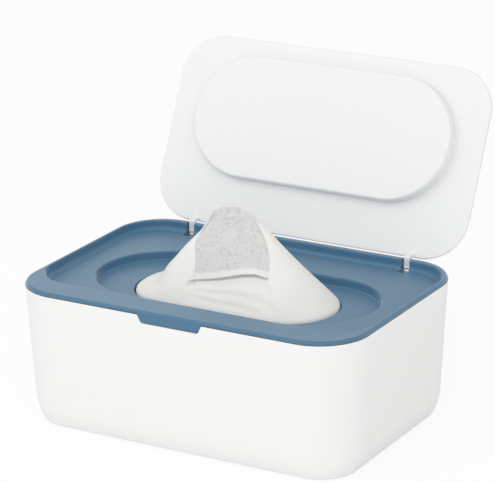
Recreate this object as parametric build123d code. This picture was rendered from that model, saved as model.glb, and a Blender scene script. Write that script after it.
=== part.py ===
from build123d import *
import os
from math import cos, radians, sin

# Countertop wipes dispenser: a tapered box, a drop-in top frame with a sunk well, a hinged lid
# that plugs the well, and a stack of interfolded wipes whose top one is drawn out of the opening.
# Millimetres. Z = 0 is the table top, X runs along the length, +Y is the hinge side.
# Every node is drawn where it is at rest, which is with the lid open.

# ---- Box shell -----------------------------------------------------------------------------
box_length = 195.0
box_width = 134.0
box_height = 74.6            # underside of the shell to the top of the frame
rim_corner_radius = 26.5     # plan radius at the top
side_taper = 4.5             # how far each side has come in at the underside
foot_curve_height = 12.7     # the sides curl in over this height above the underside
foot_curve_inset = 3.0
foot_edge_radius = 1.0
wall_thickness = 2.2
floor_thickness = 2.2
lip_thickness = 1.2          # the wall is thinned inside its top edge to take the frame
lip_depth = 7.0
lip_edge_radius = 0.3

# ---- Rubber feet ---------------------------------------------------------------------------
foot_radius = 6.5
foot_thickness = 1.6
foot_recess_depth = 1.0
foot_inset_x = 28.0          # from the end of the box, at the rim, to the foot's centre
foot_inset_y = 26.0
foot_gap = 0.1
foot_edge_rounding = 0.3

# ---- Top frame -----------------------------------------------------------------------------
flange_thickness = 1.65
flange_inset = 0.4           # step between the shell's skin and the frame's edge
flange_edge_radius = 1.4
pan_gap = 0.3                # between the shell's lip and the pan inside it
tray_side_rim = 2.7          # rim widths, from the outline of the shell to the tray's wall
tray_rear_rim = 4.9
front_land = 17.3
tray_corner_radius = 22.7
tray_depth = 5.6
tray_floor_thickness = 2.0
tray_wall_lean = 0.2
tray_cove_radius = 2.7
tray_edge_radius = 0.7
recess_end_shelf = 15.6      # tray floor between the tray's wall and the recess, at each end
recess_front_shelf = 13.65
recess_depth = 5.2
recess_wall_lean = 0.3
recess_cove_radius = 1.4
recess_edge_radius = 0.9
recess_wall_thickness = 1.8
recess_floor_thickness = 1.6
opening_end_ledge = 22.05    # recess floor between the recess's wall and the opening
opening_side_ledge = 8.4
opening_edge_radius = 0.5
land_skin = 2.0              # plastic left above the hollow under the front land
skirt_thickness = 1.2
tray_wall_thickness = 1.5
tab_top_width = 39.4         # finger tab in the middle of the front edge
tab_bottom_width = 29.5
tab_drop = 4.4               # below the seam
tab_curve_pull = 3.0         # how far each end of the tab's S-shaped side runs level
tab_gap = 0.4

# ---- Hinge ---------------------------------------------------------------------------------
hinge_inset = 32.4           # from the end of the box, at the rim, to the centre of each lug
pin_radius = 0.9
pin_below_rim = 4.6
pin_from_rear = 1.9          # from the outline of the shell to the pin's axis
pin_end_gap = 0.3
bore_gap = 0.03              # radial, pin in the frame
lug_bore_gap = 0.08          # radial, pin in the lug
lug_width = 3.5
lug_side_gap = 0.65
eye_radius = 1.6
lug_front = 1.35             # from the pin's axis to the front of the lug's neck
neck_thickness = 1.4
neck_pass_gap = 0.3          # neck above the rim when the lid is open
root_reach = 2.3             # how far the neck's root runs up the lid
root_depth = 0.8             # how deep the root is in the lid plate
neck_elbow_radius = 1.4
slot_floor_reach = 4.0       # how far each slot runs into the tray, from the tray's rear wall
slot_clear = 0.35
stop_skin = 0.7              # strip of the rim behind each slot, which stops the open lid
stop_gap = 0.12
saddle_cheek = 4.3
saddle_drop = 5.3            # below the seam
saddle_gap = 0.4
saddle_inset = 0.1

# ---- Lid -----------------------------------------------------------------------------------
lid_open_angle = 116.0
lid_thickness = 2.2
lid_side_gap = 1.6           # between the lid's edge and the tray's wall
lid_rear_gap = 2.3
lid_front_gap = 6.9
lid_corner_radius = 23.7
lid_edge_radius = 0.7
plug_gap = 2.2               # between the plug and the wall of the recess
plug_floor_gap = 0.35
plug_draft = 0.5
plug_edge_radius = 1.4
plug_wall = 2.0
lid_seat_gap = 1.8           # between the closed lid's plate and the tray's floor

# ---- Wipes ---------------------------------------------------------------------------------
wipe_count = 18
stack_end_room = 15.0        # from the outline of the shell, at the rim, to the stack
stack_side_room = 17.0
leaf_thickness = 0.8
leaf_gap = 0.1
leaf_end_gap = 0.6           # between a free edge and the fold that it lies in
tent_base_inset = 7.0        # how much further in than the opening the drawn wipe leaves the stack
tent_mouth_gap = 2.2         # between the drawn wipe and the edge of the opening
tent_skin = 0.8
tent_stack_gap = 0.3
tent_peak = 35.2             # top of the drawn wipe above the rim
tent_peak_length = 20.0
tent_peak_width = 4.0
tent_peak_shift = -2.0

# ---- Levels and places worked out from the sizes above ---------------------------------------
shell_base = foot_thickness - foot_recess_depth
rim_top = shell_base + box_height
seam = rim_top - flange_thickness
shell_floor = shell_base + floor_thickness
tray_floor = rim_top - tray_depth
recess_floor = tray_floor - recess_depth
pan_bottom = tray_floor - tray_floor_thickness
opening_bottom = recess_floor - recess_floor_thickness
pan_inset = lip_thickness + pan_gap
tray_length = box_length - 2 * tray_side_rim
tray_width = box_width - front_land - tray_rear_rim
tray_rear = box_width / 2 - tray_rear_rim
tray_centre_y = tray_rear - tray_width / 2
recess_length = tray_length - 2 * recess_end_shelf
recess_width = box_width - 2 * (front_land + recess_front_shelf)
opening_length = recess_length - 2 * opening_end_ledge
opening_width = recess_width - 2 * opening_side_ledge
hinge_x = box_length / 2 - hinge_inset
pin_y = box_width / 2 - pin_from_rear
pin_z = rim_top - pin_below_rim
slot_width = lug_width + 2 * lug_side_gap
saddle_width = slot_width + 2 * saddle_cheek
lid_length = tray_length - 2 * lid_side_gap
lid_width = tray_width - lid_rear_gap - lid_front_gap
lid_rear = tray_rear - lid_rear_gap
lid_centre_y = lid_rear - lid_width / 2
lid_under = tray_floor + lid_seat_gap
plug_bottom = recess_floor + plug_floor_gap
hinge_axis = Axis((0, pin_y, pin_z), (1, 0, 0))
wipe_width = box_length - 2 * stack_end_room
stack_width = box_width - 2 * stack_side_room
tent_base_length = opening_length - 2 * tent_base_inset
tent_base_width = opening_width - 2 * tent_base_inset
on_base = (Align.CENTER, Align.CENTER, Align.MIN)
past = 2.0                   # how far a cutting solid runs past the face that it cuts
rounding_share = 0.85        # the most of a wall's thickness that its roundings may take
level_tolerance = 0.001      # heights closer than this are the same height


# ---- Shapes carried round a rounded rectangle --------------------------------------------------
def carry_round(length, width, corner, side_edges, centre_y=0.0):
    """Solid with a rounded-rectangle plan whose side follows side_edges.

    The edges are drawn in the XZ plane: x is the distance outside the plan's outline, z the height.
    """
    rising = [edge for edge in side_edges if edge.bounding_box().size.Z > level_tolerance]
    side = Pos(corner, 0, 0) * Wire(rising)
    ends = side.vertices().sort_by(Axis.Z)
    low = ends[0]
    high = ends[-1]
    closing = Polyline((high.X, 0, high.Z), (0, 0, high.Z), (0, 0, low.Z), (low.X, 0, low.Z))
    section = Face(Wire([*side.edges(), *closing.edges()]))
    half_x = length / 2 - corner
    half_y = width / 2 - corner
    corner_piece = revolve(section, Axis.Z, 90)
    pieces = []
    for turn, x, y in ((0, 1, 1), (90, -1, 1), (180, -1, -1), (270, 1, -1)):
        pieces.append(Pos(x * half_x, y * half_y, 0) * Rot(0, 0, turn) * corner_piece)
    side_strip = extrude(section, 2 * half_x, dir=(0, 1, 0))
    for turn in (0, 180):
        pieces.append(Rot(0, 0, turn) * Pos(half_x, half_y, 0) * Rot(0, 0, 90) * side_strip)
    if half_y > 0:
        end_strip = extrude(section, 2 * half_y, dir=(0, 1, 0))
        for turn in (0, 180):
            pieces.append(Rot(0, 0, turn) * Pos(half_x, -half_y, 0) * end_strip)
        core = Box(2 * half_x, 2 * half_y, high.Z - low.Z, align=on_base)
        pieces.append(Pos(0, 0, low.Z) * core)
    return Pos(0, centre_y, 0) * (Part() + pieces)


def side_offset(height):
    """How far the shell's skin lies outside the rim outline at a height: negative is inside."""
    share = (height - shell_base) / box_height
    curl = max(0.0, 1 - (height - shell_base) / foot_curve_height)
    return side_taper * (share - 1) - foot_curve_inset * curl**2


def side_slope(height):
    """How much the skin moves outward for each millimetre upward."""
    curl = max(0.0, 1 - (height - shell_base) / foot_curve_height)
    return side_taper / box_height + 2 * foot_curve_inset * curl / foot_curve_height


def skin(low, high, inset):
    """Solid inside the tapered skin of the box between two heights, set in by an amount."""
    bend = shell_base + foot_curve_height
    edges = []
    if low < bend:
        middle = (low + bend) / 2
        pull = side_offset(low) + side_slope(low) * (middle - low)
        start = (side_offset(low) - inset, 0, low)
        edges.append(Bezier(start, (pull - inset, 0, middle), (side_offset(bend) - inset, 0, bend)))
    straight_from = max(low, bend)
    bottom = (side_offset(straight_from) - inset, 0, straight_from)
    edges.append(Line(bottom, (side_offset(high) - inset, 0, high)))
    return carry_round(box_length, box_width, rim_corner_radius, edges)


def obround(length, width, side_edges):
    """Solid with a plan of two half circles and two straights, centred on the box."""
    return carry_round(length, width, width / 2, side_edges)


def pocket_side(low, high, lean, cove_radius):
    """Side of a pocket: a cove at its floor and a wall that leans out to the outline at its mouth."""
    start = (-lean - cove_radius - past, 0, low)
    corner = (-lean, 0, low)
    slope = lean / (high - low)
    mouth = (slope * past, 0, high + past)
    return FilletPolyline(start, corner, mouth, radius=[cove_radius]).edges()


def inner_loop(solid, height):
    """Edges of the hole in the widest flat face that lies at a height."""
    flats = solid.faces().filter_by(GeomType.PLANE)
    level = flats.filter_by_position(Axis.Z, height - level_tolerance, height + level_tolerance)
    return level.sort_by(SortBy.AREA)[-1].inner_wires()[0].edges()


def beside(centre_x, width, outline):
    """Solid of a (y, z) outline, so wide along X, centred at centre_x."""
    face = Face(Wire(outline.edges()))
    return Pos(centre_x - width / 2, 0, 0) * extrude(face, width, dir=(1, 0, 0))


# ---- Box ---------------------------------------------------------------------------------------
def tab_prism(gap):
    """The finger tab's S-sided outline, grown by a gap and run through the front wall."""
    top = seam + past
    bottom = seam - tab_drop - gap
    half_top = tab_top_width / 2 + gap
    half_bottom = tab_bottom_width / 2 + gap
    sides = []
    for hand in (-1, 1):
        shoulder = (hand * half_top, 0, seam)
        toe = (hand * half_bottom, 0, bottom)
        shoulder_pull = (hand * (half_top - tab_curve_pull), 0, seam)
        toe_pull = (hand * (half_bottom + tab_curve_pull), 0, bottom)
        sides.append(Bezier(shoulder, shoulder_pull, toe_pull, toe))
        sides.append(Line(shoulder, (hand * half_top, 0, top)))
    sides.append(Line((-half_top, 0, top), (half_top, 0, top)))
    sides.append(Line((-half_bottom, 0, bottom), (half_bottom, 0, bottom)))
    depth = wall_thickness + past
    return Pos(0, -box_width / 2 + depth, 0) * extrude(Face(Wire(sides)), depth + past, dir=(0, -1, 0))


def saddle_prism(hand, gap):
    """Block that runs through the rear wall round one hinge, grown by a gap."""
    low = seam - saddle_drop - gap
    depth = wall_thickness + past
    block = Box(saddle_width + 2 * gap, 2 * depth, seam + past - low, align=on_base)
    return Pos(hand * hinge_x, box_width / 2, low) * block


def foot_places():
    """Where the four feet stand."""
    x = box_length / 2 - foot_inset_x
    y = box_width / 2 - foot_inset_y
    return [(x, -y), (x, y), (-x, y), (-x, -y)]


def make_base_box():
    """Open tapered box with a thinned lip, a notch for the tab, two for the hinges, and foot recesses."""
    box = skin(shell_base, seam, 0)
    box -= skin(shell_floor, seam + past, wall_thickness)
    box -= skin(seam - lip_depth, seam + past, lip_thickness)
    underside = box.faces().sort_by(Axis.Z)[0]
    box = box.fillet(foot_edge_radius, underside.outer_wire().edges())
    lip_top = box.faces().sort_by(Axis.Z)[-1]
    lip_rounding = min(lip_edge_radius, lip_thickness * rounding_share / 2)
    box = box.fillet(lip_rounding, lip_top.outer_wire().edges())
    box -= tab_prism(tab_gap)
    for hand in (-1, 1):
        box -= saddle_prism(hand, saddle_gap)
    recess = Cylinder(foot_radius + foot_gap, foot_recess_depth + past, align=on_base)
    for x, y in foot_places():
        box -= Pos(x, y, shell_base - past) * recess
    return box


def make_foot(x, y):
    """Round rubber pad pressed into its recess, with a softened lower edge."""
    pad = Cylinder(foot_radius, foot_thickness, align=on_base)
    pad = pad.fillet(foot_edge_rounding, pad.edges().group_by(Axis.Z)[0])
    return Pos(x, y, 0) * pad


# ---- Top frame -----------------------------------------------------------------------------------
def make_flange():
    """Flat rim that lies on the shell's lip, rounded along its outer top edge."""
    foot = side_offset(seam) - flange_inset
    head = side_offset(rim_top) - flange_inset
    radius = min(flange_edge_radius, flange_thickness * rounding_share)
    inward = head - 2 * radius
    side = FilletPolyline((foot, 0, seam), (head, 0, rim_top), (inward, 0, rim_top), radius=[radius])
    return carry_round(box_length, box_width, rim_corner_radius, side.edges())


def make_land_hollow():
    """Space under the front land, between the skirt and the tray's wall."""
    inside = skin(pan_bottom - past, rim_top - land_skin, pan_inset + skirt_thickness)
    wall = tray_wall_thickness
    upright = [Line((wall, 0, pan_bottom - 2 * past), (wall, 0, rim_top))]
    tray = carry_round(tray_length, tray_width, tray_corner_radius, upright, tray_centre_y)
    front = Pos(0, -box_width / 2, rim_top) * Box(2 * box_length, box_width, 2 * box_height)
    return (inside - tray) & front


def slot_outline():
    """(y, z) outline of a hinge slot: open below and behind the eye, closed by the stop strip above."""
    front = tray_rear - slot_floor_reach
    stop = box_width / 2 + side_offset(seam) - flange_inset - stop_skin
    eye_top = pin_z + eye_radius + slot_clear
    rear = box_width / 2 + past
    low = opening_bottom - past
    high = rim_top + past
    return Polyline(
        (0, front, low),
        (0, front, high),
        (0, stop, high),
        (0, stop, eye_top),
        (0, rear, eye_top),
        (0, rear, low),
        close=True,
    )


def make_top_frame():
    """Rim, sunk tray and obround recess in one moulding, with the tab and the two hinge saddles."""
    frame = make_flange() + skin(pan_bottom, seam + flange_thickness / 2, pan_inset)
    pan_foot = (recess_wall_thickness, 0, opening_bottom)
    pan_head = (recess_wall_thickness, 0, tray_floor - tray_floor_thickness / 2)
    frame += obround(recess_length, recess_width, [Line(pan_foot, pan_head)])
    tray_side = pocket_side(tray_floor, rim_top, tray_wall_lean, tray_cove_radius)
    frame -= carry_round(tray_length, tray_width, tray_corner_radius, tray_side, tray_centre_y)
    frame = frame.fillet(tray_edge_radius, inner_loop(frame, rim_top))
    recess_side = pocket_side(recess_floor, tray_floor, recess_wall_lean, recess_cove_radius)
    frame -= obround(recess_length, recess_width, recess_side)
    frame = frame.fillet(recess_edge_radius, inner_loop(frame, tray_floor))
    opening_side = [Line((0, 0, opening_bottom - past), (0, 0, recess_floor + past))]
    frame -= obround(opening_length, opening_width, opening_side)
    frame = frame.fillet(opening_edge_radius, inner_loop(frame, recess_floor))
    frame = frame.fillet(opening_edge_radius, inner_loop(frame, opening_bottom))
    frame -= make_land_hollow()
    tab_bottom = seam - tab_drop
    pan = skin(tab_bottom - past, seam + past, pan_inset + skirt_thickness / 2)
    tab_skin = skin(tab_bottom - past, seam + flange_thickness / 4, flange_inset) - pan
    frame += tab_prism(0) & tab_skin
    saddle_skin = skin(seam - saddle_drop - past, seam, saddle_inset)
    saddle_skin -= skin(seam - saddle_drop - 2 * past, seam + past, pan_inset + skirt_thickness / 2)
    for hand in (-1, 1):
        frame += saddle_prism(hand, 0) & saddle_skin
    bore = Rot(0, 90, 0) * Cylinder(pin_radius + bore_gap, saddle_width + past)
    for hand in (-1, 1):
        frame -= beside(hand * hinge_x, slot_width, slot_outline())
        frame -= Pos(hand * hinge_x, pin_y, pin_z) * bore
    return frame


def make_hinge_pin(hand):
    """Straight pin through both cheeks of one saddle."""
    pin = Rot(0, 90, 0) * Cylinder(pin_radius, saddle_width - 2 * pin_end_gap)
    return Pos(hand * hinge_x, pin_y, pin_z) * pin


# ---- Lid -------------------------------------------------------------------------------------------
def open_point(from_rear, depth):
    """(y, z) of a point of the open lid: distance from its rear edge, and depth into its plate."""
    y = lid_rear - from_rear - pin_y
    z = lid_under + depth - pin_z
    turn = radians(-lid_open_angle)
    return pin_y + y * cos(turn) - z * sin(turn), pin_z + y * sin(turn) + z * cos(turn)


def make_lug(hand):
    """Goose-neck lug: an eye on the pin, a neck in the slot, and a root over the rim into the lid."""
    front = pin_y - lug_front
    back = box_width / 2 + side_offset(seam) - flange_inset - stop_skin - stop_gap
    under = rim_top + neck_pass_gap
    top = under + neck_thickness
    root_top = open_point(root_reach, root_depth)
    root_low = open_point(root_depth, root_depth)
    corners = [
        (0, front, pin_z),
        (0, front, top),
        (0, root_top[0], max(top, root_top[1])),
        (0, *root_low),
        (0, back, under),
        (0, back, pin_z),
    ]
    outline = FilletPolyline(*corners, radius=[0, neck_elbow_radius, 0, 0, neck_pass_gap, 0], close=True)
    centre_x = hand * hinge_x
    lug = beside(centre_x, lug_width, outline)
    lug += Pos(centre_x, pin_y, pin_z) * Rot(0, 90, 0) * Cylinder(eye_radius, lug_width)
    return lug


def make_lid():
    """Plate with a hollow obround plug on its inner face, drawn closed and then swung open."""
    edge = lid_edge_radius
    plate_side = FilletPolyline(
        (-2 * edge, 0, lid_under),
        (0, 0, lid_under),
        (0, 0, lid_under + lid_thickness),
        (-2 * edge, 0, lid_under + lid_thickness),
        radius=[edge, edge],
    ).edges()
    lid = carry_round(lid_length, lid_width, lid_corner_radius, plate_side, lid_centre_y)
    plug_length = recess_length - 2 * plug_gap
    plug_width = recess_width - 2 * plug_gap
    plug_side = FilletPolyline(
        (-plug_draft - 2 * plug_edge_radius, 0, plug_bottom),
        (-plug_draft, 0, plug_bottom),
        (0, 0, lid_under + lid_thickness / 2),
        radius=[plug_edge_radius],
    ).edges()
    lid += obround(plug_length, plug_width, plug_side)
    hollow_side = FilletPolyline(
        (-plug_wall - plug_draft - 2 * plug_edge_radius, 0, plug_bottom + plug_wall),
        (-plug_wall - plug_draft, 0, plug_bottom + plug_wall),
        (-plug_wall, 0, lid_under + lid_thickness + past),
        radius=[plug_edge_radius],
    ).edges()
    lid -= obround(plug_length, plug_width, hollow_side)
    lid = lid.rotate(hinge_axis, -lid_open_angle)
    bore = Rot(0, 90, 0) * Cylinder(pin_radius + lug_bore_gap, lug_width + past)
    for hand in (-1, 1):
        lid += make_lug(hand)
        lid -= Pos(hand * hinge_x, pin_y, pin_z) * bore
    return lid


# ---- Wipes -------------------------------------------------------------------------------------------
leaf_pitch = leaf_thickness + leaf_gap
leaf_levels = 2 * wipe_count + 2
stack_top = shell_floor + leaf_levels * leaf_pitch


def make_wipe(order):
    """One wipe folded in two round its neighbours' leaves; the folds alternate from side to side."""
    hand = 1 if order % 2 else -1
    top = stack_top - (2 * order - 2) * leaf_pitch
    bend_radius = 1.5 * leaf_pitch + leaf_thickness / 2
    inner_radius = bend_radius - leaf_thickness
    middle = top - bend_radius
    bend = stack_width / 2 - bend_radius
    free = -(bend - leaf_end_gap)
    sides = []
    for radius in (bend_radius, inner_radius):
        low = (0, hand * bend, middle - radius)
        high = (0, hand * bend, middle + radius)
        sides.append(Line((0, hand * free, middle - radius), low))
        sides.append(ThreePointArc(low, (0, hand * (bend + radius), middle), high))
        sides.append(Line(high, (0, hand * free, middle + radius)))
    for up in (-1, 1):
        skin_inside = (0, hand * free, middle + up * inner_radius)
        skin_outside = (0, hand * free, middle + up * bend_radius)
        sides.append(Line(skin_inside, skin_outside))
    return beside(0, wipe_width, Wire(sides))


def tent_section(length, width, height, shift):
    """Obround face at a height, shifted along X."""
    return Pos(shift, 0, height) * SlotOverall(length, width)


def tent_form(shrink, base):
    """Closed form of the drawn wipe, smaller by a skin all round."""
    mouth_length = opening_length - 2 * tent_mouth_gap
    mouth_width = opening_width - 2 * tent_mouth_gap
    take = 2 * shrink
    peak = rim_top + tent_peak - shrink
    sections = [
        tent_section(tent_base_length - take, tent_base_width - take, base, 0),
        tent_section(mouth_length - take, mouth_width - take, opening_bottom - past, 0),
        tent_section(mouth_length - take, mouth_width - take, recess_floor + past, 0),
        tent_section(tent_peak_length - take, tent_peak_width - take, peak, tent_peak_shift),
    ]
    return loft([section.face() for section in sections], ruled=True)


def make_pulled_wipe():
    """The wipe drawn up through the opening: a hollow tent, whose rest still lies on the stack."""
    base = stack_top + tent_stack_gap
    lying = Pos(0, 0, base) * Box(wipe_width, stack_width, tent_skin, align=on_base)
    return tent_form(0, base) + lying - tent_form(tent_skin, base - past)


# ---- Write every node ----------------------------------------------------------------------------------
nodes = {"base_box": make_base_box()}
for number, (foot_x, foot_y) in enumerate(foot_places(), start=1):
    nodes[f"foot_{number}"] = make_foot(foot_x, foot_y)
nodes["top_frame"] = make_top_frame()
nodes["hinge_pin_left"] = make_hinge_pin(-1)
nodes["hinge_pin_right"] = make_hinge_pin(1)
nodes["lid"] = make_lid()
for number in range(1, wipe_count + 1):
    nodes[f"wipe_{number:02d}"] = make_wipe(number)
nodes["pulled_wipe"] = make_pulled_wipe()

os.makedirs("parts", exist_ok=True)
for name, solid in nodes.items():
    export_step(solid, f"parts/{name}.step")
    size = solid.bounding_box().size
    print(f"{name}: {len(solid.solids())} solid, {size.X:.1f} x {size.Y:.1f} x {size.Z:.1f} mm")
print(f"hinge axis y {pin_y:.2f} z {pin_z:.2f}, rim {rim_top:.2f}, stack top {stack_top:.2f}")
print(f"opening {opening_bottom:.2f} to {recess_floor:.2f}, peak {rim_top + tent_peak:.2f}")
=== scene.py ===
# %% [markdown]
# # Countertop wipes dispenser: how it looks
# The dispenser is a tapered white box with a blue top frame and a hinged lid. Its moulded pieces
# keep the shape that they have in the CAD and only get their finish here. The wipes are cloth, so
# each is modelled as the sheet that it is: eighteen folded ones in the stack, and one drawn up
# through the opening. Sizes are in metres. X runs to the right, Y to the hinge side and Z up.

import bmesh
import bpy
import numpy as np
from mathutils import Matrix, Vector


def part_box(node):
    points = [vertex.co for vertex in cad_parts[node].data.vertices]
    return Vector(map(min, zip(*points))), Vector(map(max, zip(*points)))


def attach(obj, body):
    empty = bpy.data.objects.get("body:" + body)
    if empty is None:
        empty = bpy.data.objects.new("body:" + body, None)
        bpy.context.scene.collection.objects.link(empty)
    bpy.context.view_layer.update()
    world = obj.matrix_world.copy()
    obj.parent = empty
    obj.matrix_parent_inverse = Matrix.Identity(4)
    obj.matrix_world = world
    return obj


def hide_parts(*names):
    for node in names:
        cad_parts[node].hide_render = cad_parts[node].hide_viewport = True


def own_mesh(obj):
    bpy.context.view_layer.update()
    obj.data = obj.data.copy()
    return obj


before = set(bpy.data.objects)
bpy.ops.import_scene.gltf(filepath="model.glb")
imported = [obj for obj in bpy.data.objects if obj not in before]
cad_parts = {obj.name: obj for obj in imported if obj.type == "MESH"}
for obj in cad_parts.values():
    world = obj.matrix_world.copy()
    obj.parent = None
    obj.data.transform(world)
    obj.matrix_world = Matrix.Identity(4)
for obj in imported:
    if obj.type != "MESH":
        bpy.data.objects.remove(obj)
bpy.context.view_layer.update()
MM = 0.001  # a millimetre

# %% [markdown]
# ## Camera
# A long lens looks from the front right, from a little above the rim, so that the box's long
# edges stay nearly parallel. A camera could be aimed with a Track To constraint, which leaves its
# roll hard to set. Here its three axes are worked out from a bearing, a height angle and a roll,
# and it stands back from its target along the last axis, so each number can be changed alone.

# %% Camera
bearing = np.radians(30.284)  # from straight in front towards the right
height_angle = np.radians(18.783)
roll = np.radians(-0.916)
distance = 1.44446
target = np.array([5.174, 2.802, 94.245]) * MM
lens_length = 206.4  # this and the sensor's width are in millimetres
sensor_width = 36
far_limit = 20

level_share = np.cos(height_angle)
back = np.array(
    [np.sin(bearing) * level_share, -np.cos(bearing) * level_share, np.sin(height_angle)]
)
level_right = np.cross(-back, (0, 0, 1))
level_right /= np.linalg.norm(level_right)
level_up = np.cross(back, level_right)
right = level_right * np.cos(roll) + level_up * np.sin(roll)
up = level_up * np.cos(roll) - level_right * np.sin(roll)

camera_data = bpy.data.cameras.new("camera")
camera_data.sensor_width = sensor_width
camera_data.lens = lens_length
camera_data.clip_end = far_limit
camera = bpy.data.objects.new("camera", camera_data)
turn = Matrix(np.column_stack([right, up, back]).tolist()).to_4x4()
camera.matrix_world = Matrix.Translation(Vector(target + back * distance)) @ turn
bpy.context.scene.collection.objects.link(camera)
bpy.context.scene.camera = camera
print("camera at", [round(x, 3) for x in camera.matrix_world.translation])

# %% [markdown]
# ## Satin plastic
# Box, frame and lid are moulded polypropylene. Their moulds are finely eroded, which leaves a
# grain that spreads the gloss. A painted texture could be wrapped round each piece, but it would
# need unwrapping and would show seams. Noise on Object coordinates needs neither, and it stays
# with the piece when it moves. Each helper makes one node, so a finish reads as a short list.
# Colours are linear values.


# %% A bare material
def new_material(name):
    """A node material with its Principled shader joined to the output."""
    material = bpy.data.materials.new(name)
    material.use_nodes = True
    tree = material.node_tree
    tree.nodes.clear()
    output = tree.nodes.new("ShaderNodeOutputMaterial")
    shader = tree.nodes.new("ShaderNodeBsdfPrincipled")
    tree.links.new(shader.outputs["BSDF"], output.inputs["Surface"])
    return material, tree, shader


print("node helper", new_material.__name__)


# %% Noise, spans and relief
def noise(tree, place, scale, detail=2.0):
    """Noise between 0 and 1 at a scale in cells per metre."""
    node = tree.nodes.new("ShaderNodeTexNoise")
    node.inputs["Scale"].default_value = scale
    node.inputs["Detail"].default_value = detail
    tree.links.new(place, node.inputs["Vector"])
    return node.outputs["Fac"]


def span(tree, value, low, high, start=0.0, end=1.0):
    """Takes a value that runs from start to end to the span from low to high.

    The result is low + (high - low) * (value - start) / (end - start), held within the span.
    """
    node = tree.nodes.new("ShaderNodeMapRange")
    node.inputs["From Min"].default_value = start
    node.inputs["From Max"].default_value = end
    node.inputs["To Min"].default_value = low
    node.inputs["To Max"].default_value = high
    tree.links.new(value, node.inputs["Value"])
    return node.outputs["Result"]


def relief(tree, shader, height, depth, strength=1.0, under=None):
    """Bump of a depth in metres on the shader, on top of another bump's normal if one is given."""
    node = tree.nodes.new("ShaderNodeBump")
    node.inputs["Strength"].default_value = strength
    node.inputs["Distance"].default_value = depth
    tree.links.new(height, node.inputs["Height"])
    if under is not None:
        tree.links.new(under, node.inputs["Normal"])
    tree.links.new(node.outputs["Normal"], shader.inputs["Normal"])
    return node.outputs["Normal"]


print("node helpers", noise.__name__, span.__name__, relief.__name__)


# %% Plastics
def plastic(name, colour, roughness, grain, haze=0.0):
    """Satin moulded plastic: fine eroded grain, a slow drift in its gloss, and a pale haze.

    Roughness runs 0.03 either side of its middle value. The haze is sheen: a grained face looks
    paler where it is seen at a low angle.
    """
    drift = 0.03
    material, tree, shader = new_material(name)
    place = tree.nodes.new("ShaderNodeTexCoord").outputs["Object"]
    pits = noise(tree, place, scale=2600.0, detail=3.0)
    relief(tree, shader, pits, depth=0.02 * MM, strength=grain)
    patches = noise(tree, place, scale=38.0)
    gloss = span(tree, patches, roughness - drift, roughness + drift, start=0.1, end=0.9)
    tree.links.new(gloss, shader.inputs["Roughness"])
    shader.inputs["Base Color"].default_value = (*colour, 1)
    shader.inputs["Sheen Weight"].default_value = haze
    shader.inputs["Sheen Roughness"].default_value = 0.3
    return material


shell_white = (0.88, 0.88, 0.87)
lid_white = (0.85, 0.85, 0.845)
frame_blue = (0.061, 0.171, 0.285)
white_shell = plastic("white shell", shell_white, roughness=0.40, grain=0.25)
white_lid = plastic("white lid", lid_white, roughness=0.36, grain=0.12)
blue_frame = plastic("blue frame", frame_blue, roughness=0.40, grain=0.3, haze=0.78)
print("plastics", white_shell.name, white_lid.name, blue_frame.name)

# %% [markdown]
# ## Painted shade in the joint between shell and frame
# The frame drops into the shell and leaves a narrow joint all round. Hardly any light comes out
# of it, so its shade reads as a fine dark line. A real gap would do the same, but one as thin as
# this breaks up into specks. So here the shade is painted into the shell's colour, as a dark line
# on the rounded outer edge of its lip, just under the frame. The lip's flat top keeps its white,
# for when the frame is lifted.

# %% Helpers for sums and colours
COLOUR_A, COLOUR_B, COLOUR_RESULT = 6, 7, 2  # where a Mix node keeps its colour sockets


def combine(tree, operation, first, second):
    """One sum, product or the like of two values, each a socket or a number."""
    node = tree.nodes.new("ShaderNodeMath")
    node.operation = operation
    for socket, value in zip(node.inputs, (first, second)):
        if isinstance(value, bpy.types.NodeSocket):
            tree.links.new(value, socket)
        else:
            socket.default_value = value
    return node.outputs["Value"]


def mix_colours(tree, share, first, second):
    """Colour on the way from the first, at share 0, to the second, at share 1.

    Each colour is a socket, or linear red, green and blue.
    """
    node = tree.nodes.new("ShaderNodeMix")
    node.data_type = "RGBA"
    tree.links.new(share, node.inputs["Factor"])
    for number, colour in ((COLOUR_A, first), (COLOUR_B, second)):
        if isinstance(colour, bpy.types.NodeSocket):
            tree.links.new(colour, node.inputs[number])
        else:
            node.inputs[number].default_value = (*colour, 1)
    return node.outputs[COLOUR_RESULT]


print("node helpers", combine.__name__, mix_colours.__name__)

# %% Painted shade line in the joint
# Colour and reach of the painted shade: the joint's shadow, laid as a dark colour on the lip's
# rounded edge.
joint_shade_colour = (0.012, 0.022, 0.032)
joint_start = 0.42 * MM  # how far under the lip's top the line begins
joint_full = 0.32 * MM  # and from where up it is fully dark
lip_side = 0.97  # upward part of the normal where the edge starts to turn into the flat top
lip_flat = 0.995  # and where it has turned


def paint_joint_shade(material, colour, level):
    """Paints the joint's shade into the shell's colour close under a level, except where it faces
    straight up.

    The share of painted shade is a ramp in height times a ramp in the upward part of the normal.
    """
    tree = material.node_tree
    coordinates = tree.nodes.new("ShaderNodeTexCoord")
    place = tree.nodes.new("ShaderNodeSeparateXYZ")
    facing = tree.nodes.new("ShaderNodeSeparateXYZ")
    tree.links.new(coordinates.outputs["Object"], place.inputs["Vector"])
    tree.links.new(coordinates.outputs["Normal"], facing.inputs["Vector"])
    # Painted shade: the lip's rounded edge turns dark where it lies in the joint's shadow.
    lip = span(tree, place.outputs["Z"], 0.0, 1.0, level - joint_start, level - joint_full)
    edge = span(tree, facing.outputs["Z"], 1.0, 0.0, lip_side, lip_flat)
    painted_shade_share = combine(tree, "MULTIPLY", lip, edge)
    shade = mix_colours(tree, painted_shade_share, colour, joint_shade_colour)
    tree.links.new(shade, tree.nodes["Principled BSDF"].inputs["Base Color"])


lip_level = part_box("base_box")[1].z
# Paints the joint's shade into the white shell's colour.
paint_joint_shade(white_shell, shell_white, lip_level)
print("joint at", lip_level)

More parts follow.
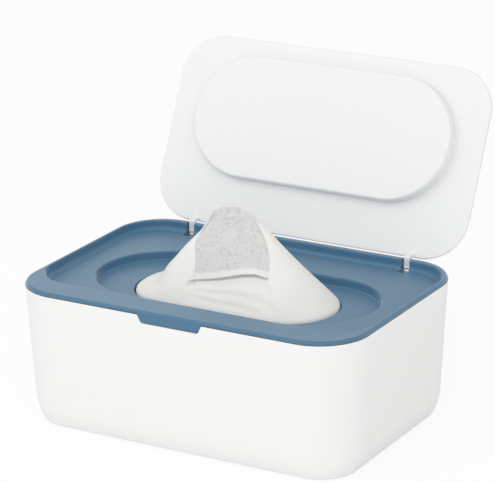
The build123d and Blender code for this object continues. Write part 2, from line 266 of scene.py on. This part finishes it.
# %% [markdown]
# ## Steel and rubber
# Two steel pins carry the lid, and four soft pads keep the box from sliding. Wire is drawn through
# a die, which leaves fine lines along it. Anisotropic gloss could give them, but on a pin that is
# seen only in a slot, noise squeezed across the wire does as well. A pad is dull and dusty, so its
# colour drifts and it hardly shines.


# %% Steel and rubber
def steel():
    """Drawn wire: noise that runs 20 times finer across the pin than along it, in its gloss."""
    material, tree, shader = new_material("drawn steel")
    place = tree.nodes.new("ShaderNodeTexCoord").outputs["Object"]
    drawn_out = tree.nodes.new("ShaderNodeMapping")
    drawn_out.inputs["Scale"].default_value = (1, 20, 20)
    tree.links.new(place, drawn_out.inputs["Vector"])
    lines = noise(tree, drawn_out.outputs["Vector"], scale=400.0)
    gloss = span(tree, lines, 0.22, 0.38, start=0.3, end=0.7)
    tree.links.new(gloss, shader.inputs["Roughness"])
    shader.inputs["Base Color"].default_value = (0.62, 0.62, 0.63, 1)
    shader.inputs["Metallic"].default_value = 1
    return material


def rubber():
    """Soft grey pad with a dull, faintly dusty skin: noise between two greys, and a fine bump."""
    clean_grey = (0.24, 0.245, 0.25)
    dusty_grey = (0.32, 0.325, 0.33)
    material, tree, shader = new_material("grey rubber")
    place = tree.nodes.new("ShaderNodeTexCoord").outputs["Object"]
    grey = mix_colours(tree, noise(tree, place, scale=300.0), clean_grey, dusty_grey)
    tree.links.new(grey, shader.inputs["Base Color"])
    shader.inputs["Roughness"].default_value = 0.75
    relief(tree, shader, noise(tree, place, scale=1800.0), depth=0.02 * MM)
    return material


pin_steel = steel()
foot_rubber = rubber()
print("steel and rubber", pin_steel.name, foot_rubber.name)

# %% [markdown]
# ## Damp cloth
# A wipe is non-woven: fibres tangled by jets of water, with shallow pits and no weave. Where two
# damp layers cling together they turn greyer and mottled. Light passing through the cloth could
# give that, but it is slow and grainy to render. So an attribute of the mesh, called double, says
# where the layers cling, and the finish goes from dry to damp by it. Its patterns lie on the
# cloth's own UV map, in metres of cloth, and so they bend with it.


# %% Cloth
def cloth():
    """Damp non-woven: its colour goes from dry to damp by double, over fibres and pits.

    speckle is the larger of the pits and 0.9 times the patches. The pits' depth is speckle
    times (0.2 + 0.8 * double).
    """
    dry_shades = ((0.855, 0.842, 0.790), (0.905, 0.893, 0.855))
    damp_shades = ((0.58, 0.585, 0.58), (0.70, 0.70, 0.687))
    patch_share = 0.9
    pits_anywhere, pits_where_double = 0.2, 0.8

    material, tree, shader = new_material("damp non-woven")
    uv_map = tree.nodes.new("ShaderNodeUVMap")
    uv_map.uv_map = "cloth"
    place = uv_map.outputs["UV"]
    layers = tree.nodes.new("ShaderNodeAttribute")
    layers.attribute_name = "double"
    double = layers.outputs["Fac"]

    pits = span(tree, noise(tree, place, scale=620.0), 0.0, 1.0, start=0.34, end=0.52)
    patches = noise(tree, place, scale=110.0, detail=1.0)
    patches = span(tree, patches, 0.0, 1.0, start=0.4, end=0.6)
    speckle = combine(tree, "MAXIMUM", pits, combine(tree, "MULTIPLY", patches, patch_share))
    dry = mix_colours(tree, noise(tree, place, scale=60.0), *dry_shades)
    damp = mix_colours(tree, speckle, *damp_shades)
    tree.links.new(mix_colours(tree, double, dry, damp), shader.inputs["Base Color"])

    fibres = noise(tree, place, scale=2200.0, detail=4.0)
    fibres = relief(tree, shader, fibres, depth=0.06 * MM, strength=0.5)
    pitted = combine(tree, "MULTIPLY", double, pits_where_double)
    pitted = combine(tree, "ADD", pitted, pits_anywhere)
    pitted = combine(tree, "MULTIPLY", speckle, pitted)
    relief(tree, shader, pitted, depth=0.18 * MM, strength=0.8, under=fibres)
    shader.inputs["Roughness"].default_value = 0.62
    shader.inputs["Sheen Weight"].default_value = 0.15
    shader.inputs["Sheen Roughness"].default_value = 0.5
    return material


wipe_cloth = cloth()
print("cloth", wipe_cloth.name, len(wipe_cloth.node_tree.nodes), "nodes")

# %% [markdown]
# ## Finishes on the CAD pieces
# The box, the frame, the lid, the pins and the pads are rigid, and the CAD has their true shape.
# They could be modelled again here, but a finish in the material slot is all that they need.

# %% Finishes on the CAD pieces
finishes = {"base_box": white_shell, "top_frame": blue_frame, "lid": white_lid}
for node_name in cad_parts:
    if node_name.startswith("hinge_pin"):
        finishes[node_name] = pin_steel
    if node_name.startswith("foot"):
        finishes[node_name] = foot_rubber
for node_name, finish in finishes.items():
    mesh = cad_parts[node_name].data
    mesh.materials.clear()
    mesh.materials.append(finish)
print("finished", sorted(finishes))

# %% [markdown]
# ## Sheets
# A sheet of cloth could be a plane that is subdivided and pulled about. Here it is a grid of
# points worked out with arrays, because then every row and column keeps its place on the flat
# cloth, and the pattern of the cloth follows it. The rows may close into loops. The grid is the
# middle of the cloth, and its thickness is added last, half to each side.


# %% Grid to mesh
def grid_piece(name, points, cloth_uv, closed):
    """Makes an object from a grid of points, rows by columns by 3.

    Each quad joins a point and the next one in its row to the same two points of the next row.
    closed joins the last column to the first. cloth_uv holds a place on the flat cloth for each
    point, with one more column if closed.
    """
    rows, columns = points.shape[:2]
    steps = columns if closed else columns - 1
    row, column = np.meshgrid(np.arange(rows - 1), np.arange(steps), indexing="ij")
    here = row * columns + column
    after = row * columns + (column + 1) % columns
    quads = np.stack([here, after, after + columns, here + columns], axis=-1).reshape(-1, 4)
    corners = ((0, 0), (0, 1), (1, 1), (1, 0))
    places = [cloth_uv[row + down, column + along] for down, along in corners]
    mesh = bpy.data.meshes.new(name)
    mesh.from_pydata(points.reshape(-1, 3).tolist(), [], quads.tolist())
    layer = mesh.uv_layers.new(name="cloth")
    layer.data.foreach_set("uv", np.stack(places, axis=-2).ravel())
    mesh.shade_smooth()
    piece = bpy.data.objects.new(name, mesh)
    bpy.context.scene.collection.objects.link(piece)
    return piece


def thicken(piece, thickness):
    """Gives a sheet its thickness, half to each side, and keeps the result as its mesh."""
    solidify = piece.modifiers.new("thickness", "SOLIDIFY")
    solidify.thickness = thickness
    solidify.offset = 0
    solidify.use_even_offset = False
    view = bpy.context.evaluated_depsgraph_get()
    finished = bpy.data.meshes.new_from_object(piece.evaluated_get(view))
    piece.modifiers.clear()
    piece.data = finished


print("sheet helpers", grid_piece.__name__, thicken.__name__)

# %% [markdown]
# ## The folded wipes
# In the box lies a stack of interfolded wipes. Each is folded in two, and the folds lie on
# alternate sides, so that each wipe holds the next one's leaf and draws it up. The stack could be
# one block with lines on its sides, but its edges are open to view when the frame is lifted, so
# every wipe is its own sheet. All of them follow the same slow waves, which grow towards the top
# of the stack, so that the sheets stay clear of each other.

# %% Measures of the stack
stack_low, stack_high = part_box("wipe_01")
wipe_count = sum(name.startswith("wipe_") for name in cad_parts)
sheet_thickness = 0.55 * MM
leaf_thickness = 0.8 * MM  # room that a leaf takes up in the stack
cloth_width = stack_high.x - stack_low.x
stack_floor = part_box(f"wipe_{wipe_count:02d}")[0].z
stack_top = stack_high.z

wave_height = 0.25 * MM
long_wave, cross_wave, slant_wave = 0.11, 0.08, 0.06  # from crest to crest


def wave(x, y):
    """Slow waves of a stack that has been handled, between -1.5 and 1.5.

    A sine along x times a cosine along y, plus half a sine along x + 1.7 y.
    """
    crossed = np.sin(2 * np.pi * x / long_wave + 1.0) * np.cos(2 * np.pi * y / cross_wave)
    return crossed + 0.5 * np.sin(2 * np.pi * (x + 1.7 * y) / slant_wave)


print("wipes", wipe_count, "from", round(stack_floor, 4), "to", round(stack_top, 4))

# %% One folded wipe
leaf_points, fold_points, length_points = 24, 9, 40
fold_scatter = 0.2  # how far the folds lie out of line, in millimetres
end_scatter = 0.5  # how far the ends do
scatter = np.random.default_rng(7)


def folded_wipe(number):
    """One wipe as a U-shaped sheet: a leaf, a half-round fold and the leaf below it.

    Across the fold, y and rise go along the upper leaf, round y = bend + radius * cos and
    rise = radius * sin, and back along the lower leaf. x is straight.
    """
    low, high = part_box(f"wipe_{number:02d}")
    middle = (low.z + high.z) / 2
    radius = (high.z - low.z - leaf_thickness) / 2
    hand = 1 if abs(high.y) > abs(low.y) else -1
    bend = max(abs(high.y), abs(low.y)) - leaf_thickness / 2 - radius
    free = -min(abs(high.y), abs(low.y))
    leaf = np.linspace(free, bend, leaf_points)
    turn = np.linspace(np.pi / 2, -np.pi / 2, fold_points + 2)[1:-1]
    y = np.concatenate([leaf, bend + radius * np.cos(turn), leaf[::-1]])
    upper, lower = np.full(leaf_points, radius), np.full(leaf_points, -radius)
    rise = np.concatenate([upper, radius * np.sin(turn), lower])
    along = np.concatenate([[0], np.cumsum(np.hypot(np.diff(y), np.diff(rise)))])
    x = np.linspace(low.x, high.x, length_points)
    shift_y = scatter.uniform(-fold_scatter, fold_scatter) * MM
    shift_x = scatter.uniform(-end_scatter, end_scatter) * MM
    grid_y, grid_x = np.meshgrid(hand * y + shift_y, x, indexing="ij")
    height = np.broadcast_to((middle + rise)[:, None], grid_x.shape)
    share = (height - stack_floor) / (stack_top - stack_floor)
    height = height + share * wave_height * wave(grid_x, grid_y)
    points = np.stack([grid_x + shift_x, grid_y, height], axis=-1)
    flat = np.stack(np.meshgrid(along, x + number * cloth_width, indexing="ij"), axis=-1)
    piece = grid_piece(f"wipe_{number:02d}_cloth", points, flat, closed=False)
    thicken(piece, sheet_thickness)
    return piece, along[-1]


print("points in a folded wipe", (2 * leaf_points + fold_points) * length_points)

# %% Stack of folded wipes
for number in range(wipe_count, 0, -1):
    piece, cloth_length = folded_wipe(number)
    piece.data.materials.append(wipe_cloth)
    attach(piece, "root")
    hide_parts(f"wipe_{number:02d}")
print("folded wipes", wipe_count, "flat", round(cloth_width, 4), round(cloth_length, 4))

# %% [markdown]
# ## The drawn wipe
# The top wipe has been pinched in its middle and drawn up. Its rest still lies on the stack, it
# fills the opening, and above the rim it runs straight to the pinch, so it is a tent with an
# obround foot. Blender's Cloth could drape it, but the wipe is held taut from above, and cloth
# with nothing to hold it would fall. So it is worked out as a grid of closed loops, one above the
# other. Each loop is two half ovals, left and right, joined by straights along the front and rear.
# Its columns are counted from the rear round the left: the front straight is columns 64 to 120.

# %% Columns of a loop
arc_columns = 64  # points on each half oval
side_columns = 56  # points on each straight
left_turn = np.pi / 2 + np.pi * np.arange(arc_columns) / arc_columns
right_turn = left_turn + np.pi
run = np.arange(side_columns) / side_columns
level_side = np.zeros(side_columns)
loop_cos = np.concatenate([np.cos(left_turn), level_side, np.cos(right_turn), level_side])
loop_sin = np.concatenate([np.sin(left_turn), level_side - 1, np.sin(right_turn), level_side + 1])
rightness = np.concatenate([np.zeros(arc_columns), run, np.ones(arc_columns), 1 - run])
print("columns in a loop", len(loop_cos))


# %% Easing
def ease(share):
    """Smooth step from 0 to 1: 3s^2 - 2s^3, level at both ends."""
    share = np.clip(share, 0, 1)
    return share * share * (3 - 2 * share)


def ramp(value, start, length):
    """Smooth step that leaves 0 at the start and reaches 1 a length later."""
    return ease((value - start) / length)


def hump(value, centre, reach):
    """Smooth hill of height 1 at the centre that comes down to 0 at reach to either side."""
    return ease(1 - np.abs(value - centre) / reach)


def between(start, end, share):
    """Value on the way from start to end: start + (end - start) * share."""
    return start + (end - start) * share


print("eased quarters", [round(float(ease(quarter / 4)), 3) for quarter in range(5)])


# %% One loop
def loop(centre_right, centre_left, reach_right, reach_left, reach_y, height, square=1.0):
    """Rows of closed loops, from a number or one number for each row of every measure.

    x = centre + reach * cos, y = reach_y * sin, each end with its own centre and reach, and a
    square below 1 pushes the round ends towards a rectangle by taking cos and sin to that power.
    """
    sizes = (centre_right, centre_left, reach_right, reach_left, reach_y, height, square)
    sizes = [np.atleast_1d(size)[:, None] for size in sizes]
    centre_right, centre_left, reach_right, reach_left, reach_y, height, square = sizes
    cos = np.sign(loop_cos) * np.abs(loop_cos) ** square
    sin = np.sign(loop_sin) * np.abs(loop_sin) ** square
    reach = np.where(cos > 0, reach_right, reach_left)
    x = between(centre_left, centre_right, rightness) + reach * cos
    return np.stack([x, reach_y * sin, np.broadcast_to(height, x.shape)], axis=-1)


circle = loop(0.0, 0.0, 1.0, 1.0, 1.0, 0.0)
print("a loop of radius 1 reaches from", circle[0].min(0).round(3), "to", circle[0].max(0).round(3))

# %% [markdown]
# The sheet has three stretches: one that lies on the stack, from its straight outer edge in to
# the obround foot, one that climbs from there to the edge of the opening, and the tent above it.
# The tent narrows faster on its left, where it leaves the opening in a low shoulder. One loft
# through a few outlines could make all three, but each has its own row spacing and shape.

# %% Measures of the drawn wipe
rim_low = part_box("top_frame")[0]
tent_low, tent_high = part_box("pulled_wipe")
lying_rows, inside_rows, tent_rows = 16, 26, 110
lying_end = 30 * MM  # from the middle to the centre of the outer edge's rounding
lying_square = 0.2  # the outer edge is nearly a rectangle
rounding_pace = 1.6  # how soon on the way in the loops become round
foot_reach = 20.65 * MM  # radius where the cloth leaves the stack
foot_level = tent_low.z + 0.5 * MM
opening_end = 29.5 * MM  # from the middle to the centre of the opening's round end
opening_reach = 27.25 * MM  # radius of the cloth in the opening's round end
opening_level = rim_low.z + 1.9 * MM
pinch_right = 8.0 * MM
pinch_left = -12.0 * MM
pinch_half = 0.5 * MM
hollow = 0.9 * MM  # how far the front and rear sag in halfway up
shoulder_rise = (0, 0.05, 0.1, 0.15, 0.2, 0.3, 0.4, 0.5, 0.75, 1)
shoulder_reach = (27.25, 22.5, 17.0, 14.2, 13.8, 12.8, 10.3, 8.2, 2.4, 0.5)  # in millimetres
print("opening at", round(opening_level, 4), "pinch at", round(tent_high.z, 4))

# %% From the outer edge to the opening
lie = np.linspace(0, 1, lying_rows)
lying_centre = between(lying_end, opening_end, lie)
lying_reach = between(cloth_width / 2 - lying_end, foot_reach, lie)
lying = loop(
    centre_right=lying_centre,
    centre_left=-lying_centre,
    reach_right=lying_reach,
    reach_left=lying_reach,
    reach_y=between(-stack_low.y, foot_reach, lie),
    height=foot_level,
    square=between(lying_square, 1.0, ease(lie * rounding_pace)),
)
climb = np.linspace(0, 1, inside_rows + 1)[1:]
inside_reach = between(foot_reach, opening_reach, climb)
inside = loop(
    centre_right=opening_end,
    centre_left=-opening_end,
    reach_right=inside_reach,
    reach_left=inside_reach,
    reach_y=inside_reach,
    height=between(foot_level, opening_level, climb),
)
print("lying", lying.shape, "inside", inside.shape)

# %% Tent
draw = np.linspace(0, 1, tent_rows + 1)[1:]
tent = loop(
    centre_right=between(opening_end, pinch_right, draw),
    centre_left=between(-opening_end, pinch_left, draw),
    reach_right=between(opening_reach, pinch_half, draw),
    reach_left=MM * np.interp(draw, shoulder_rise, shoulder_reach),
    reach_y=between(opening_reach, 0.0, draw) - hollow * np.sin(np.pi * draw),
    height=between(opening_level, tent_high.z, draw),
)
print("tent", tent.shape)

# %% One sheet
smoothing_passes = 8  # in each pass a row goes halfway to the mean of its two neighbours
drawn = np.concatenate([lying, inside, tent])
tent_start = len(lying) + len(inside)
for _ in range(smoothing_passes):
    drawn[1:-1] = 0.25 * drawn[:-2] + 0.5 * drawn[1:-1] + 0.25 * drawn[2:]
lying = drawn[: len(lying)]  # these two are views: what moves in them moves in the sheet
tent = drawn[tent_start:]
print("drawn wipe rows", len(drawn), "columns", drawn.shape[1])

# %% [markdown]
# The tent is drawn taut, but not evenly. Small pleats run out of the pinch, slow ripples run
# round the tent, and the cloth is gathered at the top into a low wavy ridge that falls to its
# left. These could be sculpted by hand. As waves along the loops they can be changed at any time,
# and they fade out before the pinch, so that the two sides of the cloth don't cross.

# %% Pleats and ridge
pinch_drop = 1.6 * MM  # how much lower the left end of the pinch is
ridge_height = 2.4 * MM
gather_depth, gather_wave, gather_phase = 0.8 * MM, 7.5 * MM, 0.6
pleat_depth, pleat_count, pleat_phase = 0.7 * MM, 13, 1.2
ripple_depth, ripple_count, ripple_twist = 0.3 * MM, 5, 3

rise = draw[:, None]  # 0 at the opening, 1 at the pinch
outward = np.stack([loop_cos, loop_sin, np.zeros_like(loop_cos)], axis=-1)
around = np.arange(drawn.shape[1]) / drawn.shape[1]
fading = 1 - ramp(rise, start=0.93, length=0.07)
gather = ramp(rise, start=0.8, length=0.2)
ridge = ramp(rise, start=0.86, length=0.14)

falling = pinch_drop * ramp(rise, start=0.5, length=0.5)
tent[..., 2] -= falling * (pinch_right - tent[..., 0]) / (pinch_right - pinch_left)
pinch_middle = (pinch_left + pinch_right) / 2
pinch_place = (tent[..., 0] - pinch_middle) / (pinch_right - pinch_middle)
tent[..., 2] += ridge_height * ridge * (1 - np.clip(pinch_place**2, 0, 1))
gather_angle = 2 * np.pi * tent[..., 0] / gather_wave + gather_phase
tent[..., 1] += gather_depth * gather * np.sin(gather_angle)
pleat_angle = 2 * np.pi * pleat_count * around + pleat_phase
pleats = pleat_depth * rise**3 * fading * np.sin(pleat_angle)
ripple_angle = 2 * np.pi * ripple_count * around + ripple_twist * rise
ripples = ripple_depth * np.sin(np.pi * rise) * fading * np.sin(ripple_angle)
tent += (pleats + ripples)[..., None] * outward
lying[..., 2] += wave_height * wave(lying[..., 0], lying[..., 1])
plain_tent = tent.copy()
print("tent top", tent[..., 2].max())

# %% [markdown]
# In front the wipe is doubled. A flap hangs from the pinch and clings to the tent, and it runs
# into the tent at its two sides. Its free edge leaves a slit, widest at the right. Under the slit
# lies the layer behind, a little further in, with soft folds that fan out from its left corner.
# The slit could be cut out of the mesh, but that leaves ragged edges. Pressing the layer behind
# inwards and laying the flap over it as a sheet of its own keeps both of them smooth.

# %% Slit and the panel under it
slit_left, slit_right = 73, 128  # columns at the slit's two ends
slit_column = (slit_left, 92, 108, 119, slit_right)
slit_rise = (0.25, 0.321, 0.393, 0.417, 0.393)
panel_left_rise = (0.04, 0.18, 0.25)  # the panel's left edge, from its foot up to the slit
panel_left_column = (76, slit_left, slit_left)

column = np.arange(drawn.shape[1])[None, :]
below = np.interp(column, slit_column, slit_rise) - rise
panel_left = np.interp(rise, panel_left_rise, panel_left_column)
panel_sides = ramp(column, start=panel_left, length=1.5)
panel_sides = panel_sides * (1 - ramp(column, start=125, length=3))
panel_top = 1 - ramp(-below, start=0.04, length=0.06)
panel_foot = ramp(rise, start=0.02, length=0.08)
panel = panel_sides * panel_top * panel_foot
print("share of the tent in the panel", round(float(panel.mean()), 3))

# %% Depth and folds of the panel
panel_depth = 0.7 * MM
mouth_column = (slit_left, 90, 112, 124, slit_right)
mouth_depth = (0.0, 0.5, 1.0, 0.9, 0.0)  # how wide the slit gapes, from end to end
trough_depth = 2.4 * MM
corner_depth = 2.0 * MM
fold_depth = 0.19 * MM
fold_width = 0.05  # share of the rise from fold to fold at the slit's left end
fold_growth = 0.10  # how much wider they are at the right end of the fan
fan_columns = 52

mouth = np.interp(column, mouth_column, mouth_depth)
trough = trough_depth * mouth * hump(below, centre=0.012, reach=0.026)
corner_pit = corner_depth * hump(column, centre=75.5, reach=3.5)
corner_pit = corner_pit * hump(rise, centre=0.215, reach=0.05)
fan = below / (fold_width + fold_growth * np.clip((column - slit_left) / fan_columns, 0, 1))
folds = fold_depth * np.sin(2 * np.pi * fan) * ramp(below, start=0.0, length=0.03)
folds = folds * ramp(column, start=74, length=14)
inward = panel * (panel_depth - folds) + panel_sides * (trough + corner_pit)
tent -= inward[..., None] * outward
print("slit depth", trough.max())

# %% [markdown]
# The flap is a grid between four curves on the tent: its top runs along the pinch, its foot along
# the slit, and its sides slant inwards. It is read from the tent as it was before the slit was
# pressed in, and then stands out along its own normal. At its sides and top it dips under the
# tent, so that the two run into each other, and near its foot it lifts a little. A copy of the
# tent's own faces could serve, but its edges would follow the rows and columns in steps.

# %% Rows and columns of the flap
flap_rows, flap_columns = 60, 64
flap_top = 0.975  # in the tent's rise
top_left, top_right = 46, 150  # columns of the tent at the flap's four corners
foot_left, foot_right = slit_left, 129

down = np.linspace(0, 1, flap_rows)[:, None]
across = np.linspace(0, 1, flap_columns)[None, :]
flap_left = between(top_left, foot_left, ramp(down, start=-0.05, length=1.0))
flap_right = between(top_right, foot_right, down)
flap_column = between(flap_left, flap_right, across)
flap_foot = np.interp(flap_column[-1:], slit_column, slit_rise)
flap_rise = between(flap_top, flap_foot, down)
print("flap foot at a rise of", round(flap_foot.min(), 3), "to", round(flap_foot.max(), 3))


# %% Flap on the tent
def sample(grid, row, column):
    """Points of a grid of loops at fractional rows and columns, by mixing the four corners."""
    row_start = np.clip(np.floor(row).astype(int), 0, len(grid) - 2)
    column_start = np.floor(column).astype(int)
    row_share = (row - row_start)[..., None]
    column_share = (column - column_start)[..., None]
    after = (column_start + 1) % grid.shape[1]
    low_side = between(grid[row_start, column_start], grid[row_start, after], column_share)
    high_side = between(grid[row_start + 1, column_start], grid[row_start + 1, after], column_share)
    return between(low_side, high_side, row_share)


edge_gap, cling_gap = -0.35, 0.4  # from the tent, in millimetres
lift_height = 0.7 * MM
flap = sample(plain_tent, flap_rise * tent_rows - 1, flap_column)
normal = np.cross(np.gradient(flap, axis=0), np.gradient(flap, axis=1))
normal /= np.linalg.norm(normal, axis=-1, keepdims=True)
inner = ease(across / 0.06) * ease((1 - across) / 0.06) * ease(down / 0.08)
cling = between(edge_gap, cling_gap, inner) * MM
lift = lift_height * inner * ramp(down, start=0.86, length=0.14)
lift = lift * hump(across, centre=0.72, reach=0.5)
flap += (cling + lift)[..., None] * normal
print("flap", flap.reshape(-1, 3).min(0), flap.reshape(-1, 3).max(0))

# %% [markdown]
# The sheet and its flap become meshes now. Each point gets its place on the flat cloth, which is
# the way run along its row and down the grid, and its share of double for the finish. Unwrapping
# the finished mesh would give such a map too, but not one in true metres. Sheet and flap could
# stay two objects, but on the real thing they are one wipe, so they are joined into one piece.


# %% Places on the flat cloth
def cloth_places(points, middle):
    """How far each point lies along its row, and its row down the middle column, in metres.

    Both are running sums of the distances from point to point.
    """
    along = np.linalg.norm(np.diff(points, axis=1), axis=-1)
    along = np.concatenate([np.zeros((len(points), 1)), np.cumsum(along, axis=1)], axis=1)
    down_grid = np.linalg.norm(np.diff(points[:, middle], axis=0), axis=-1)
    down_grid = np.concatenate([[0], np.cumsum(down_grid)])[:, None]
    return np.stack([along, np.broadcast_to(down_grid, along.shape)], axis=-1)


front_middle = arc_columns + side_columns // 2
drawn_uv = cloth_places(np.concatenate([drawn, drawn[:, :1]], axis=1), front_middle)
drawn_uv[..., 0] -= drawn_uv[:, front_middle : front_middle + 1, 0]
flap_uv = cloth_places(flap, flap_columns // 2)
print("drawn wipe round its edge", round(float(np.ptp(drawn_uv[0, :, 0])), 4))

# %% Meshes of the drawn wipe
drawn_thickness = 0.35 * MM
weld_reach = 0.001 * MM


def mark_layers(piece, values):
    """Writes how far two layers cling together at each point, from 0 to 1."""
    layer = piece.data.attributes.new("double", "FLOAT", "POINT")
    layer.data.foreach_set("value", values)


def weld(piece):
    """Joins the points that lie in the same place, where two edges of a sheet meet."""
    work = bmesh.new()
    work.from_mesh(piece.data)
    bmesh.ops.remove_doubles(work, verts=work.verts, dist=weld_reach)
    work.to_mesh(piece.data)
    work.free()


drawn_wipe = grid_piece("pulled_wipe_cloth", drawn, drawn_uv, closed=True)
pinched = np.zeros(drawn.shape[:2])
pinched[tent_start:] = ramp(rise, start=0.86, length=0.08)
mark_layers(drawn_wipe, pinched.ravel())
weld(drawn_wipe)

doubled = grid_piece("doubled", flap[::-1], flap_uv[::-1], closed=False)
foot_fade = 0.75 * ramp(down, start=0.86, length=0.07)
clinging = ease(across / 0.05) * ease((1 - across) / 0.06) * (1 - foot_fade)
mark_layers(doubled, clinging[::-1].ravel())
for piece in (drawn_wipe, doubled):
    thicken(piece, drawn_thickness)
print("tent", len(drawn_wipe.data.polygons), "flap", len(doubled.data.polygons), "faces")

# %% The drawn wipe as one piece
both = [drawn_wipe, doubled]
with bpy.context.temp_override(active_object=drawn_wipe, selected_editable_objects=both):
    bpy.ops.object.join()
drawn_wipe.data.materials.clear()
drawn_wipe.data.materials.append(wipe_cloth)
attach(drawn_wipe, "root")
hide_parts("pulled_wipe")
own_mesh(drawn_wipe)
print("drawn wipe", len(drawn_wipe.data.polygons), "faces")

# %% [markdown]
# ## Studio: the table
# The box stands on a plain white table. Strong lamps could make the table white, but they would
# bleach the box as well. So the light stays low, and for the camera's own rays most of the
# table's shader gives way to plain white. The rest of it keeps the soft shadow of the box.

# %% Shader mixing
FIRST_SHADER, SECOND_SHADER = 1, 2  # where a Mix Shader node takes its two shaders


def mix_shaders(tree, share, first, second):
    """Light of the first shader at share 0 and of the second at share 1."""
    node = tree.nodes.new("ShaderNodeMixShader")
    tree.links.new(share, node.inputs["Fac"])
    tree.links.new(first, node.inputs[FIRST_SHADER])
    tree.links.new(second, node.inputs[SECOND_SHADER])
    return node.outputs["Shader"]


print("node helper", mix_shaders.__name__)

# %% Table
table_size = 6.0
table_white = (0.93, 0.93, 0.93, 1)
paper_white = (1, 1, 1, 1)
paper_share = 0.85  # how much of the table the camera sees as plain paper, without shadow

half = table_size / 2
table_corners = [(-half, -half, 0), (half, -half, 0), (half, half, 0), (-half, half, 0)]
table_mesh = bpy.data.meshes.new("table")
table_mesh.from_pydata(table_corners, [], [(0, 1, 2, 3)])
table = bpy.data.objects.new("table", table_mesh)
bpy.context.scene.collection.objects.link(table)

table_finish, table_tree, table_shader = new_material("white table")
table_shader.inputs["Base Color"].default_value = table_white
table_shader.inputs["Roughness"].default_value = 0.8
table_shader.inputs["Specular IOR Level"].default_value = 0.2
paper = table_tree.nodes.new("ShaderNodeEmission")
paper.inputs["Color"].default_value = paper_white
eye = table_tree.nodes.new("ShaderNodeLightPath")
seen_share = span(table_tree, eye.outputs["Is Camera Ray"], 0.0, paper_share)
surface = mix_shaders(
    table_tree, seen_share, table_shader.outputs["BSDF"], paper.outputs["Emission"]
)
table_tree.links.new(surface, table_tree.nodes["Material Output"].inputs["Surface"])
table_mesh.materials.append(table_finish)
print("table", table_size, "m wide")

# %% [markdown]
# ## Studio: the lamps
# Two soft boxes look down on the box from the front left and the front right. A sun or a spot
# would draw hard shadows. Square lamps of over a metre shade the rounded edges gently, and the
# right one is a little stronger, which keeps the box's right end bright.


# %% Soft boxes
def soft_box(name, place, aim, size, power):
    """Square area light at a place, turned to a point."""
    data = bpy.data.lights.new(name, "AREA")
    data.size = size
    data.energy = power
    light = bpy.data.objects.new(name, data)
    light.location = place
    light.rotation_euler = (Vector(aim) - Vector(place)).to_track_quat("-Z", "Y").to_euler()
    bpy.context.scene.collection.objects.link(light)
    return light


box_middle = (0, 0, 0.05)
key = soft_box("key", place=(-0.9, -1.1, 1.2), aim=box_middle, size=1.2, power=4.5)
fill = soft_box("fill", place=(0.8, -1.2, 0.9), aim=box_middle, size=1.2, power=5.5)
print("soft boxes", key.name, fill.name)

# %% [markdown]
# ## Studio: the room
# The rest of the light comes evenly from all round, as in a white room. Walls with lamps on them
# could give it, but a plain world colour does the same with less noise. What the camera, a
# reflection or glass sees past the table is pure white, whatever the strength of the light.

# %% Light from all round
room_strength = 0.79  # the light that falls on the box from every side
seen_strength = 1.0  # what the eye, a reflection and glass see past the table: white


def background(tree, strength):
    """Plain white light of a strength."""
    node = tree.nodes.new("ShaderNodeBackground")
    node.inputs["Color"].default_value = (1, 1, 1, 1)
    node.inputs["Strength"].default_value = strength
    return node.outputs["Background"]


world = bpy.data.worlds.new("studio")
bpy.context.scene.world = world
world.use_nodes = True
sky = world.node_tree
sky.nodes.clear()
ray = sky.nodes.new("ShaderNodeLightPath")
straight = combine(sky, "MAXIMUM", ray.outputs["Is Camera Ray"], ray.outputs["Is Glossy Ray"])
straight = combine(sky, "MAXIMUM", straight, ray.outputs["Is Transmission Ray"])
room = mix_shaders(
    sky, straight, background(sky, room_strength), background(sky, seen_strength)
)
sky_out = sky.nodes.new("ShaderNodeOutputWorld")
sky.links.new(room, sky_out.inputs["Surface"])
bpy.context.scene.view_settings.view_transform = "Standard"
print("studio ready, light from all round", room_strength)
